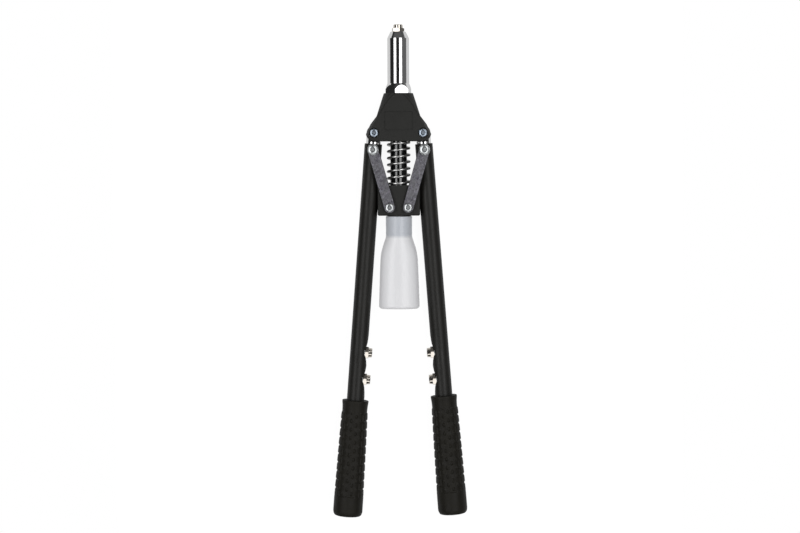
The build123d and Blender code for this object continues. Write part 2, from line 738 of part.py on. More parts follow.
def threaded_inserts(side, spares):
    """Flanged threaded inserts set in the dimples, one for each spare nosepiece."""
    flange = -DIMPLE_FLOOR - INSERT_FLANGE
    inserts = []
    for along, _ in spares.values():
        shape = turned([
            (NOSE_SHANK_RADIUS + FIT, flange),
            (INSERT_FLANGE_RADIUS, flange),
            (INSERT_FLANGE_RADIUS, -DIMPLE_FLOOR),
            (INSERT_RADIUS, -DIMPLE_FLOOR),
            (INSERT_RADIUS, INSERT_INNER_END),
            (NOSE_SHANK_RADIUS + FIT, INSERT_INNER_END),
        ])
        inserts.append(handle_place(side) * Pos(0, -along, 0) * Rot(0, 0, side * 90) * shape)
    return inserts


def spare_nosepiece(side, along, bore_radius):
    """Spare nosepiece screwed into its insert, pointing at the other handle."""
    mouth = DIMPLE_FLOOR + INSERT_FLANGE + SLEEVE_FRONT
    place = handle_place(side) * Pos(0, -along, 0) * Rot(0, 0, side * 90) * Pos(0, mouth, 0)
    return place * nosepiece(bore_radius, side * SPARE_TURN)


def grip(side, start, end):
    """Rubber grip: a tapered sleeve closed at the end, with a plain collar at the front."""
    outline = [(0, start)]
    outline += [(radius, start + down) for down, radius in GRIP_PROFILE]
    outline += [(radius, end - up) for up, radius in GRIP_END_ROUND]
    outline += [(0, end)]
    return handle_place(side) * (turned(outline) - rod_y(TUBE_RADIUS, start - CUT, end - GRIP_WALL))


# Link groups

def link(side, near, far):
    """Flat link bar between the handle bolt and the yoke pin, from z = near to z = far."""
    top_x, top_y = on_handle(side, LINK_PIN_ALONG)
    low_x, low_y = side * YOKE_PIN_X, -YOKE_PIN_BACK
    length = hypot(top_x - low_x, top_y - low_y)
    lean = degrees(atan2(top_x - low_x, top_y - low_y))
    bar = extrude(SlotCenterToCenter(length, LINK_WIDTH, rotation=90), far - near)
    bar = fillet(bar.faces().filter_by(Plane.XY).edges(), LINK_EDGE)
    bar = Pos((top_x + low_x) / 2, (top_y + low_y) / 2, near) * Rot(0, 0, -lean) * bar
    bar -= rod_z(top_x, top_y, LINK_BOLT_RADIUS + FIT, near - CUT, far + CUT)
    bar -= rod_z(low_x, low_y, PIN_RADIUS + TURNING_FIT, near - CUT, far + CUT)
    return bar


def link_bolt(side):
    """Button-head bolt through both links, the spacers and the tube; the head is at the back."""
    head_radius, head_height = LINK_BOLT_HEAD
    seat = -LINK_OUTER_Z
    face = seat - head_height
    tip = LINK_NUT_SEAT + LINK_NUT_HEIGHT + PIN_TIP
    bolt = turned_z([
        (0, face),
        *[(head_radius * share, face + head_height * rise) for share, rise in BUTTON_HEAD_OUTLINE],
        (head_radius, seat),
        (LINK_BOLT_RADIUS, seat),
        (LINK_BOLT_RADIUS, tip - TIP_CHAMFER),
        (LINK_BOLT_RADIUS - TIP_CHAMFER, tip),
        (0, tip),
    ])
    x, y = on_handle(side, LINK_PIN_ALONG)
    return Pos(x, y, 0) * (bolt - socket_z(face, *LINK_BOLT_SOCKET))


def link_nut(side):
    """Lock nut on the link bolt, at the front."""
    x, y = on_handle(side, LINK_PIN_ALONG)
    turn = 30 + side * 4
    return lock_nut(x, y, LINK_NUT_SEAT, LINK_NUT_FLATS, LINK_NUT_HEIGHT, LINK_BOLT_RADIUS, turn)


def link_nut_ring(side):
    """Nylon ring in the link bolt's nut."""
    x, y = on_handle(side, LINK_PIN_ALONG)
    return nut_ring(x, y, LINK_NUT_SEAT, LINK_NUT_HEIGHT, LINK_BOLT_RADIUS)


def link_washer(side):
    """Plain washer under the link bolt's nut."""
    x, y = on_handle(side, LINK_PIN_ALONG)
    washer = rod_z(x, y, WASHER_RADIUS, LINK_OUTER_Z, LINK_NUT_SEAT)
    washer = chamfer(washer.edges().group_by(Axis.Z)[-1], WASHER_CHAMFER)
    return washer - rod_z(x, y, LINK_BOLT_RADIUS + FIT, LINK_OUTER_Z - CUT, LINK_NUT_SEAT + CUT)


def link_spacers(side):
    """The two spacers that keep the flat links off the round tube."""
    x, y = on_handle(side, LINK_PIN_ALONG)
    near = TUBE_RADIUS + SPACER_GAP
    spacers = []
    for low, high in ((-LINK_INNER_Z, -near), (near, LINK_INNER_Z)):
        ring = rod_z(x, y, SPACER_RADIUS, low, high)
        spacers.append(ring - rod_z(x, y, LINK_BOLT_RADIUS + FIT, low - CUT, high + CUT))
    return spacers


# Bottle

def bottle_form(inset, end):
    """Bottle shape shrunk by inset: round neck, then an oval body as deep as the neck is wide."""
    depth = BOTTLE_NECK_RADIUS - inset
    sections = []
    for back, half_width in BOTTLE_SHOULDER + [(end, BOTTLE_FOOT_HALF_WIDTH)]:
        level = Plane((0, -back, 0), x_dir=(1, 0, 0), z_dir=(0, -1, 0))
        sections.append(level * Ellipse(half_width - inset, depth))
    body = loft(sections[:-1]) + loft(sections[-2:], ruled=True)
    foot = body.faces().sort_by(Axis.Y)[0]
    body = fillet(foot.edges(), BOTTLE_CORNER - inset)
    return body + rod_y(depth, BOTTLE_START - inset, BOTTLE_NECK_END + 0.5)


def mandrel_bottle():
    """Translucent bottle that collects spent mandrels."""
    return bottle_form(0, BOTTLE_END) - bottle_form(BOTTLE_WALL, BOTTLE_END - BOTTLE_WALL)


# The whole tool, node by node

def barrel_pieces():
    """Pieces fixed to the head, the body that the hand-holds hinge on."""
    pivots = (PIVOT_X, PIVOT_BACK, HEAD_NUT_SEAT)
    return {
        "fitted_nosepiece": nosepiece(NOSE_BORE_RADIUS, NOSE_TURN),
        "barrel_sleeve": barrel_sleeve(),
        "head_casting": head_casting(),
        "head_pivot_pins": head_pins(),
        "head_pivot_nuts": pin_nuts(*pivots, (32, 27)),
        "head_nut_rings": pin_nut_rings(*pivots),
        "return_spring": return_spring(),
    }


def yoke_pieces():
    """Pieces that travel with the yoke and the pull rod, and the jaws and bottle they carry."""
    pivots = (YOKE_PIN_X, YOKE_PIN_BACK, LINK_OUTER_Z + PIN_PLAY)
    pieces = {
        "yoke": yoke(),
        "pull_rod": pull_rod(),
        "jaw_case": jaw_case(),
        "case_lock_ring": case_lock_ring(),
        "yoke_pivot_pins": yoke_pins(),
        "yoke_pivot_nuts": pin_nuts(*pivots, (24, 33)),
        "yoke_nut_rings": pin_nut_rings(*pivots),
        "jaw_pusher": jaw_pusher(),
        "pusher_spring": pusher_spring(),
        "mandrel_bottle": mandrel_bottle(),
    }
    for index in range(3):
        pieces[f"jaw_{index + 1}"] = jaw(index)
    return pieces


def handle_pieces(name, side):
    """Lug, tube, grip, inserts and spare nosepieces of one handle."""
    spares = SPARES[name]
    pieces = {
        f"{name}_lever_lug": lever_lug(side),
        f"{name}_handle_tube": handle_tube(side, spares),
        f"{name}_grip": grip(side, *GRIPS[name]),
        f"{name}_threaded_inserts": threaded_inserts(side, spares),
    }
    for place, (along, bore_radius) in spares.items():
        pieces[f"{name}_{place}_spare_nosepiece"] = spare_nosepiece(side, along, bore_radius)
    return pieces


def link_pieces(name, side):
    """Front and back link of one handle, with the bolt that joins them."""
    return {
        f"{name}_front_link": link(side, LINK_INNER_Z, LINK_OUTER_Z),
        f"{name}_back_link": link(side, -LINK_OUTER_Z, -LINK_INNER_Z),
        f"{name}_link_bolt": link_bolt(side),
        f"{name}_link_nut": link_nut(side),
        f"{name}_link_nut_ring": link_nut_ring(side),
        f"{name}_link_washer": link_washer(side),
        f"{name}_link_spacers": link_spacers(side),
    }


def main():
    """Write one STEP file per node; a group of like pieces is one node."""
    os.makedirs("parts", exist_ok=True)
    pieces = {**barrel_pieces(), **yoke_pieces()}
    for name, side in SIDES.items():
        pieces |= handle_pieces(name, side)
        pieces |= link_pieces(name, side)
    for name, piece in pieces.items():
        if isinstance(piece, list):
            piece = Compound(piece)
        export_step(piece, f"parts/{name}.step")


if __name__ == "__main__":
    main()
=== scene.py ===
import json
from math import asin, cos, exp, hypot, pi, radians, sin

import bmesh
import bpy
from mathutils import Matrix, Vector


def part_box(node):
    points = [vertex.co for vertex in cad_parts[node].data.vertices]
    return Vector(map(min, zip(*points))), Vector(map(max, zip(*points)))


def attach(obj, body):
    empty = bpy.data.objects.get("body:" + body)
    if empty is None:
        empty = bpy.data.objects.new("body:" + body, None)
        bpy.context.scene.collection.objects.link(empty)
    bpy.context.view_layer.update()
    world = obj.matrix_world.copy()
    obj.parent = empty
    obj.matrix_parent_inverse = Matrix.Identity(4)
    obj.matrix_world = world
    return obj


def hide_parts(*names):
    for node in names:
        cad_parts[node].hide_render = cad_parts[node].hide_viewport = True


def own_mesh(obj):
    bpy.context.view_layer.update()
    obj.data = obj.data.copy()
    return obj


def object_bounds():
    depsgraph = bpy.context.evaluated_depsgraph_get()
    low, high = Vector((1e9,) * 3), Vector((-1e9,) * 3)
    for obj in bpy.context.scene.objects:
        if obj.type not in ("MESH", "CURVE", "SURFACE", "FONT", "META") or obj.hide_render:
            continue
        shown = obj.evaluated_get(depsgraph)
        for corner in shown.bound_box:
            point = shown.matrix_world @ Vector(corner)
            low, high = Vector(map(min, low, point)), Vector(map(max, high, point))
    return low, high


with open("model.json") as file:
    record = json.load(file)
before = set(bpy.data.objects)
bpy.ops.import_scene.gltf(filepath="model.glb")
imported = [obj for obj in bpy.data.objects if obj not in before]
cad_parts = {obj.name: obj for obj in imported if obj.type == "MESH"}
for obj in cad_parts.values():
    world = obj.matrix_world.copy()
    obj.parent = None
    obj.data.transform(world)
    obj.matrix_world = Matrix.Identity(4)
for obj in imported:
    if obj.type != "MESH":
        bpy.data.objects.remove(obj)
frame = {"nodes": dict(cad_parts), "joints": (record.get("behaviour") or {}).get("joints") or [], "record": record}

cad_low, cad_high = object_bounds()

# The tool lies on its back: +Y out of the nose, +Z out of the front face, +X to the right.
# Sizes are in metres. Handles are worked on in a frame of their own: origin at the pivot pin,
# "along" is the distance down the tube, and angles run round the tube from its own +X.

HANDLE_TILT = radians(4.3)
MM = 0.001

NODES = frame["nodes"]
RECORD = frame["record"]
JOINTS = {joint["name"]: joint for joint in frame["joints"]}
SIDES = {"left": -1, "right": 1}


# Materials

def remap(tree, value, low, high, start, end):
    """Stretch a value from start..end to low..high in a node tree."""
    node = tree.nodes.new("ShaderNodeMapRange")
    node.inputs["From Min"].default_value = start
    node.inputs["From Max"].default_value = end
    node.inputs["To Min"].default_value = low
    node.inputs["To Max"].default_value = high
    tree.links.new(value, node.inputs["Value"])
    return node.outputs["Result"]


class Look:
    """A material's node tree, with short calls for the patterns that the finishes share."""

    def __init__(self, name, colour, metallic=0.0, roughness=0.5, **values):
        self.material = bpy.data.materials.new(name)
        self.material.use_nodes = True
        self.material.diffuse_color = (*colour, 1.0)
        self.tree = self.material.node_tree
        self.shader = self.tree.nodes["Principled BSDF"]
        self.shader.inputs["Base Color"].default_value = (*colour, 1.0)
        self.shader.inputs["Metallic"].default_value = metallic
        self.shader.inputs["Roughness"].default_value = roughness
        for socket, value in values.items():
            self.shader.inputs[socket.replace("_", " ")].default_value = value
        self.place = self.tree.nodes.new("ShaderNodeTexCoord").outputs["Object"]

    def link(self, source, target):
        self.tree.links.new(source, target)

    def stretched(self, stretch):
        """Object coordinates, scaled unevenly to draw a pattern out along an axis."""
        mapping = self.tree.nodes.new("ShaderNodeMapping")
        mapping.inputs["Scale"].default_value = stretch
        self.link(self.place, mapping.inputs["Vector"])
        return mapping.outputs["Vector"]

    def noise(self, size, detail=3.0, stretch=(1, 1, 1), rough=0.55):
        """Noise whose grain is about size metres."""
        node = self.tree.nodes.new("ShaderNodeTexNoise")
        node.inputs["Scale"].default_value = 1 / size
        node.inputs["Detail"].default_value = detail
        node.inputs["Roughness"].default_value = rough
        self.link(self.stretched(stretch), node.inputs["Vector"])
        return node.outputs["Fac"]

    def cells(self, size, stretch=(1, 1, 1)):
        """Random grey per cell, for crystals."""
        node = self.tree.nodes.new("ShaderNodeTexVoronoi")
        node.inputs["Scale"].default_value = 1 / size
        self.link(self.stretched(stretch), node.inputs["Vector"])
        split = self.tree.nodes.new("ShaderNodeSeparateColor")
        self.link(node.outputs["Color"], split.inputs["Color"])
        return split.outputs["Red"]

    def spread(self, value, low, high, start=0.0, end=1.0):
        """Stretch a pattern from start..end to low..high."""
        return remap(self.tree, value, low, high, start, end)

    def blend(self, factor, first, second):
        """Mix of two colours; either may be a colour or a socket."""
        node = self.tree.nodes.new("ShaderNodeMix")
        node.data_type = "RGBA"
        colour_inputs = [socket for socket in node.inputs if socket.type == "RGBA"]
        self.link(factor, node.inputs["Factor"])
        for socket, colour in zip(colour_inputs, (first, second)):
            if isinstance(colour, tuple):
                socket.default_value = (*colour, 1.0)
            else:
                self.link(colour, socket)
        return next(socket for socket in node.outputs if socket.type == "RGBA")

    def colour(self, source):
        self.link(source, self.shader.inputs["Base Color"])

    def roughness(self, source):
        self.link(source, self.shader.inputs["Roughness"])

    def bump(self, *layers):
        """Stack of bumps, each (height pattern, depth in metres, strength)."""
        normal = None
        for height, depth, strength in layers:
            node = self.tree.nodes.new("ShaderNodeBump")
            node.inputs["Distance"].default_value = depth
            node.inputs["Strength"].default_value = strength
            self.link(height, node.inputs["Height"])
            if normal is not None:
                self.link(normal, node.inputs["Normal"])
            normal = node.outputs["Normal"]
        self.link(normal, self.shader.inputs["Normal"])


def chrome():
    """Bright chrome with a few fine wipe marks."""
    look = Look("chrome", (0.90, 0.90, 0.90), metallic=1.0, roughness=0.06)
    wipes = look.noise(0.01, detail=4, stretch=(6, 0.4, 6))
    look.roughness(look.spread(wipes, 0.035, 0.10, 0.35, 0.75))
    look.colour(look.blend(wipes, (0.87, 0.87, 0.87), (0.93, 0.93, 0.93)))
    return look.material


def rod_chrome():
    """Hard chrome on the pull rod, kept very dark, with mottled tone and roughness and a fine ringed bump."""
    look = Look("rod_chrome", (0.11, 0.11, 0.11), metallic=1.0, roughness=0.12)
    rod_mottle = look.noise(0.012, detail=4, stretch=(3, 0.6, 3))
    look.roughness(look.spread(rod_mottle, 0.09, 0.20, 0.3, 0.7))
    look.colour(look.blend(rod_mottle, (0.09, 0.09, 0.09), (0.13, 0.13, 0.13)))
    look.bump((look.noise(0.02, detail=2, stretch=(0.3, 60, 0.3)), 0.00001, 0.3))
    return look.material


def nickel():
    """Warm nickel plate on turned and milled steel."""
    look = Look("nickel", (0.78, 0.73, 0.66), metallic=1.0, roughness=0.15)
    tone = look.noise(0.004)
    look.colour(look.blend(tone, (0.70, 0.65, 0.58), (0.86, 0.81, 0.74)))
    look.roughness(look.spread(look.noise(0.002), 0.11, 0.20))
    look.bump((look.noise(0.0006), 0.00001, 0.15))
    return look.material


def black_casting():
    """Satin black paint over a cast surface: orange peel, dust specks and softly worn high spots."""
    look = Look("black_casting", (0.020, 0.020, 0.018), roughness=0.5, Specular_IOR_Level=0.3)
    tone = look.noise(0.018, detail=5)
    specks = look.noise(0.0009, detail=1)
    base = look.blend(tone, (0.016, 0.016, 0.0145), (0.023, 0.023, 0.021))
    look.colour(look.blend(look.spread(specks, 0, 1, 0.70, 0.82), base, (0.040, 0.039, 0.036)))
    look.roughness(look.spread(tone, 0.44, 0.58, 0.3, 0.7))
    peel = look.noise(0.0011, detail=2)
    swell = look.noise(0.007, detail=1)
    look.bump((swell, 0.00015, 0.35), (peel, 0.00006, 0.5))
    return look.material


def black_tube():
    """Powder-coated steel tube, a little glossier than the castings, with fine drawing lines."""
    look = Look("black_tube", (0.0135, 0.0130, 0.0115), roughness=0.42, Specular_IOR_Level=0.32)
    along = look.noise(0.004, detail=4, stretch=(6, 0.15, 6))
    tone = look.noise(0.03, detail=4)
    look.colour(look.blend(tone, (0.0115, 0.011, 0.0095), (0.0155, 0.015, 0.013)))
    look.roughness(look.spread(along, 0.36, 0.50, 0.3, 0.7))
    look.bump((look.noise(0.0009, detail=2), 0.00005, 0.4), (along, 0.00002, 0.25))
    return look.material


def link_zinc():
    """Dull zinc plate on stamped bars: grey-violet crystals, dull clouds and a few light grains."""
    look = Look("link_zinc", (0.18, 0.17, 0.20), metallic=0.8, roughness=0.45)
    crystals = look.cells(0.0013, stretch=(1, 0.7, 1))
    clouds = look.noise(0.006, detail=6, rough=0.65)
    grain = look.noise(0.0008, detail=2)
    dull = look.blend(crystals, (0.085, 0.08, 0.10), (0.30, 0.29, 0.33))
    cloudy = look.blend(look.spread(clouds, 0, 1, 0.35, 0.7), dull, (0.16, 0.16, 0.165))
    look.colour(look.blend(look.spread(grain, 0, 0.6, 0.60, 0.78), cloudy, (0.40, 0.40, 0.44)))
    look.roughness(look.spread(clouds, 0.36, 0.58, 0.3, 0.7))
    look.bump((grain, 0.00006, 0.5), (crystals, 0.00002, 0.3))
    return look.material


def bright_zinc():
    """Bright zinc plate on nuts, bolts and lugs."""
    look = Look("bright_zinc", (0.60, 0.615, 0.62), metallic=1.0, roughness=0.31)
    tone = look.noise(0.003, detail=5)
    look.colour(look.blend(tone, (0.52, 0.54, 0.545), (0.68, 0.70, 0.705)))
    look.roughness(look.spread(look.noise(0.0015), 0.28, 0.38))
    look.bump((look.noise(0.0007), 0.00003, 0.3))
    return look.material


def blue_zinc():
    """Blue-passivated zinc on the head's nuts and pins."""
    look = Look("blue_zinc", (0.38, 0.44, 0.51), metallic=1.0, roughness=0.34)
    tone = look.noise(0.0025, detail=4)
    look.colour(look.blend(tone, (0.33, 0.40, 0.48), (0.44, 0.49, 0.56)))
    look.roughness(look.spread(look.noise(0.0015), 0.28, 0.40))
    look.bump((look.noise(0.0007), 0.00003, 0.3))
    return look.material


def nylon():
    """Blue nylon of the lock nuts' rings."""
    look = Look("nylon", (0.035, 0.07, 0.14), roughness=0.45)
    tone = look.noise(0.0012)
    look.colour(look.blend(tone, (0.025, 0.05, 0.11), (0.05, 0.10, 0.19)))
    look.bump((look.noise(0.0005), 0.00003, 0.3))
    return look.material


def spring_steel():
    """Bright drawn wire with a trace of oil."""
    look = Look("spring_steel", (0.64, 0.64, 0.63), metallic=1.0, roughness=0.30)
    tone = look.noise(0.003, detail=4)
    look.colour(look.blend(tone, (0.58, 0.58, 0.57), (0.74, 0.74, 0.73)))
    look.roughness(look.spread(tone, 0.26, 0.34))
    look.bump((look.noise(0.0006), 0.00002, 0.25))
    return look.material


def tool_steel():
    """Hardened, oiled steel inside the barrel."""
    look = Look("tool_steel", (0.26, 0.26, 0.27), metallic=1.0, roughness=0.32)
    tone = look.noise(0.003, detail=4)
    look.colour(look.blend(tone, (0.20, 0.20, 0.21), (0.34, 0.33, 0.33)))
    look.roughness(look.spread(tone, 0.26, 0.42))
    look.bump((look.noise(0.0005), 0.00002, 0.3))
    return look.material


def grip_rubber():
    """Matt black rubber with a moulded grain and a faint grey bloom."""
    look = Look("grip_rubber", (0.0100, 0.0086, 0.0052), roughness=0.55, Specular_IOR_Level=0.26)
    bloom = look.noise(0.012, detail=5)
    bloomed = look.spread(bloom, 0, 1, 0.3, 0.75)
    look.colour(look.blend(bloomed, (0.0078, 0.0067, 0.0040), (0.0122, 0.0106, 0.0066)))
    look.roughness(look.spread(bloom, 0.48, 0.62, 0.3, 0.7))
    look.bump((look.noise(0.0005, detail=2), 0.00006, 0.5), (look.noise(0.003), 0.00006, 0.25))
    return look.material


# Y where the bottle turns from milky to the painted shade of its neck, a grey that stands for the black spigot
# seen through the wall, and where that painted shade is full
BOTTLE_NECK_PAINTED_SHADE = (-0.2308, -0.2272)


def bottle_plastic():
    """Milky polyethylene, with painted shade at the neck: a grey that stands for the black spigot seen through the
    wall.

    The small even glow stands for light scattered inside the wall.
    """
    look = Look("bottle_plastic", (0.85, 0.85, 0.87), roughness=0.3, IOR=1.5, Emission_Strength=0.13)
    flow = look.noise(0.02, detail=3, stretch=(3, 0.4, 3))
    look.shader.inputs["Emission Color"].default_value = (0.98, 0.985, 1.0, 1.0)
    milky = look.blend(flow, (0.82, 0.82, 0.84), (0.86, 0.86, 0.88))
    along = look.tree.nodes.new("ShaderNodeSeparateXYZ")
    look.link(look.place, along.inputs["Vector"])
    # Painted shade mask: 0 at the neck, where the grey standing for the black spigot seen through the wall is
    # painted, and 1 on the milky body below
    body = look.spread(along.outputs["Y"], 1, 0, *BOTTLE_NECK_PAINTED_SHADE)
    look.colour(look.blend(body, (0.49, 0.52, 0.575), milky))
    look.roughness(look.spread(flow, 0.24, 0.34, 0.3, 0.7))
    look.bump((look.noise(0.008, detail=2), 0.0001, 0.2), (look.noise(0.0008), 0.00002, 0.25))
    return look.material


MATERIALS = {make.__name__: make() for make in (
    chrome, rod_chrome, nickel, black_casting, black_tube, link_zinc, bright_zinc, blue_zinc,
    nylon, spring_steel, tool_steel, grip_rubber, bottle_plastic,
)}
SLOT_OF = {part["node"]: part["material_slot"] for part in RECORD["subparts"]}


def dress(piece, slot):
    """Give a piece its one material."""
    piece.data.materials.clear()
    piece.data.materials.append(MATERIALS[slot])


def dress_frame():
    """Give each CAD node the finish of its slot in the record."""
    for name, node in NODES.items():
        dress(node, SLOT_OF[name])


# Mesh helpers

def new_piece(name, slot, body, *replaced):
    """Empty mesh piece that rides on a body and stands for CAD nodes; fill it with fill()."""
    piece = bpy.data.objects.new(name, bpy.data.meshes.new(name))
    bpy.context.scene.collection.objects.link(piece)
    dress(piece, slot)
    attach(piece, body)
    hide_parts(*replaced)
    return piece


def fill(piece, rings, closed_ends=(True, True)):
    """Skin a row of equal-sized rings of points; ends are capped with a fan where asked."""
    points = [point for ring in rings for point in ring]
    size = len(rings[0])
    faces = []
    last = (len(rings) - 1) * size
    for here in range(0, last, size):
        there = here + size
        for i in range(size):
            j = (i + 1) % size
            faces.append((here + i, here + j, there + j, there + i))
    for end, ring_start, flip in zip(closed_ends, (0, last), (True, False)):
        if end:
            centre = sum((Vector(points[ring_start + i]) for i in range(size)), Vector()) / size
            points.append(centre)
            for i in range(size):
                j = (i + 1) % size
                fan = (ring_start + j, ring_start + i, len(points) - 1)
                faces.append(fan if flip else fan[::-1])
    piece.data.from_pydata([tuple(point) for point in points], [], faces)
    shape = bmesh.new()
    shape.from_mesh(piece.data)
    bmesh.ops.recalc_face_normals(shape, faces=shape.faces)
    shape.to_mesh(piece.data)
    shape.free()
    piece.data.shade_smooth()


def steps(count):
    """Values from 0 to 1 in count equal steps."""
    return [i / count for i in range(count + 1)]


def smooth(value):
    """Ease from 0 to 1 with a flat start and end."""
    value = min(max(value, 0.0), 1.0)
    return value * value * (3 - 2 * value)


def through(points, place):
    """Height at a place on a smooth curve through (place, height) points."""
    places = [point[0] for point in points]
    heights = [point[1] for point in points]
    last = len(points) - 2
    i = max(0, min(last, sum(place >= edge for edge in places) - 1))
    slopes = [
        (heights[k + 1] - heights[k]) / (places[k + 1] - places[k]) for k in range(len(points) - 1)
    ]
    tangents = [slopes[0]] + [
        0.0 if a * b <= 0 else 2 * a * b / (a + b) for a, b in zip(slopes, slopes[1:])
    ] + [slopes[-1]]
    width = places[i + 1] - places[i]
    t = min(max((place - places[i]) / width, 0.0), 1.0)
    rise = heights[i] * (1 + 2 * t) * (1 - t) ** 2 + heights[i + 1] * t * t * (3 - 2 * t)
    return rise + width * (tangents[i] * t * (1 - t) ** 2 - tangents[i + 1] * t * t * (1 - t))


# Springs

WIRE_SIDES = 16
STEPS_PER_TURN = 72
FLAT_TURN = 0.3
RETURN_WIRE = 1.3 * MM
RETURN_TURNS = 6.5
PUSHER_WIRE = 0.45 * MM
PUSHER_TURNS = 9


def wire_ring(centre, out, wire_radius):
    """Section of a wire round a point of its centre line, in the plane of the tool's axis."""
    ring = []
    for k in range(WIRE_SIDES):
        turn = 2 * pi * k / WIRE_SIDES
        ring.append(centre + out * (wire_radius * cos(turn)) + Vector((0, wire_radius * sin(turn), 0)))
    return ring


def spring(name, body, node, coil_radius, wire_radius, turns, start, low, high):
    """Compression spring on the tool's axis from y = low to y = high, its ends bent flat."""
    piece = new_piece(name, "spring_steel", body, node)
    rings = []
    for t in steps(int(turns * STEPS_PER_TURN)):
        angle = start - 2 * pi * turns * t
        turn_here = min(t, 1 - t) * turns
        lag = FLAT_TURN * 0.5 * (1 - smooth(turn_here / FLAT_TURN)) / turns
        level = t - lag if t > 0.5 else t + lag
        level = (level - FLAT_TURN * 0.5 / turns) / (1 - FLAT_TURN / turns)
        level = min(max(level, 0.0), 1.0)
        out = Vector((cos(angle), 0, sin(angle)))
        centre = out * coil_radius + Vector((0, low + (high - low) * level, 0))
        rings.append(wire_ring(centre, out, wire_radius))
    fill(piece, rings)
    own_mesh(piece)


def springs():
    """Return spring round the pull rod, and the small spring behind the jaw pusher."""
    low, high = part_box("return_spring")
    bottom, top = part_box("yoke")[1].y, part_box("head_casting")[0].y
    spring(
        "return_spring_coil", "head", "return_spring",
        coil_radius=(high.x - low.x) / 2 - RETURN_WIRE, wire_radius=RETURN_WIRE,
        turns=RETURN_TURNS, start=pi, low=bottom + RETURN_WIRE, high=top - RETURN_WIRE,
    )
    low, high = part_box("pusher_spring")
    spring(
        "pusher_spring_coil", "yoke", "pusher_spring",
        coil_radius=(high.x - low.x) / 2 - PUSHER_WIRE, wire_radius=PUSHER_WIRE,
        turns=PUSHER_TURNS, start=pi / 2, low=low.y + PUSHER_WIRE, high=high.y - PUSHER_WIRE,
    )


# Grips

GRIP_SIDES = 168
GRIP_ROWS = 300
COLLAR = 12 * MM
RIB_COUNT = 10
RIB_PITCH = 9.35 * MM
RIB_DEPTH = 1.0 * MM
RIB_BEND = 1.6 * MM
RIB_EDGE = radians(45)
PAD_HEIGHT = 1.0 * MM
PAD_SIZE = (1.4 * MM, 2.4 * MM)
PAD_COLUMNS = (-8.1 * MM, -2.7 * MM, 2.7 * MM, 8.1 * MM)
COLLAR_RADII = [(0, 14.3), (1.2, 14.3), (6.0, 13.8), (12.0, 13.6), (14.0, 13.6)]
CREST_RADII = [(0, 14.3), (12, 14.4), (48, 15.1), (95, 15.8), (110, 15.95), (130, 16.0)]
GRIP_EDGE = 0.5 * MM
GRIP_BORE = 9.5 * MM
GRIP_LEAD_IN = 0.5 * MM
LEAD_IN_PLACES = (0.8 * MM, 0.1 * MM)
PATTERN_RISE = 2.5 * MM
PATTERN_FALL = 1.5 * MM
END_ROUND = 6 * MM
END_DROP = 3.4 * MM


def handle_matrix(side):
    """Frame of a handle: its pivot pin, tilted so that -Y runs down the tube."""
    name = "left_handle_hinge" if side < 0 else "right_handle_hinge"
    return Matrix.Translation(JOINTS[name]["pos_m"]) @ Matrix.Rotation(side * HANDLE_TILT, 4, "Z")


def span(node, place):
    """Where a node starts and ends along a handle."""
    inverse = place.inverted()
    alongs = [-(inverse @ vertex.co).y for vertex in NODES[node].data.vertices]
    return min(alongs), max(alongs)


def rib_share(angle):
    """How fully the side ribs stand at an angle round the tube: 1 on the flanks, 0 front and back."""
    off_flank = abs(asin(sin(angle)))
    return 1 - smooth((off_flank - RIB_EDGE) / radians(10) + 0.5)


def rib(distance, angle):
    """Scale-like rib: a quick rise, a long swell and a narrow crease that sags towards the front."""
    bend = RIB_BEND * (asin(sin(angle)) / RIB_EDGE) ** 2
    phase = (distance - bend) / RIB_PITCH % 1.0
    rise = smooth(phase / 0.24)
    swell = 0.78 + 0.22 * smooth(phase / 0.8)
    crease = smooth((phase - 0.86) / 0.14)
    return rise * swell * (1 - crease)


def pads(radius, angle, distance):
    """Small raised lozenges in staggered columns on the front and the back."""
    off_front = asin(cos(angle)) * radius
    height = 0.0
    for column, place in enumerate(PAD_COLUMNS):
        across = (off_front - place) / PAD_SIZE[0]
        if abs(across) < 1.5:
            row = (distance / RIB_PITCH + column % 2 / 2) % 1.0 - 0.5
            along = row * RIB_PITCH / PAD_SIZE[1]
            height = max(height, smooth(1.5 * (1 - hypot(across, along)) + 0.2))
    return height


def grip_radius(angle, distance, length):
    """Outer radius of the grip at an angle and a distance from its front edge."""
    crest = through(CREST_RADII, distance / MM) * MM
    collar = through(COLLAR_RADII, distance / MM) * MM
    pattern_end = COLLAR + RIB_COUNT * RIB_PITCH
    begun = smooth((distance - COLLAR + 0.5 * MM) / PATTERN_RISE)
    inside = begun * smooth((pattern_end - distance) / PATTERN_FALL)
    flank = rib_share(angle)
    crease = RIB_DEPTH * flank * (1 - rib(distance - COLLAR, angle))
    sunk = PAD_HEIGHT * (1 - flank) * (1 - pads(crest, angle, distance - COLLAR))
    radius = collar + (crest - collar) * begun - inside * (crease + sunk)
    to_end = length - distance
    if to_end < END_ROUND:
        radius -= END_DROP * (1 - (1 - (1 - to_end / END_ROUND) ** 2) ** 0.5)
    return radius


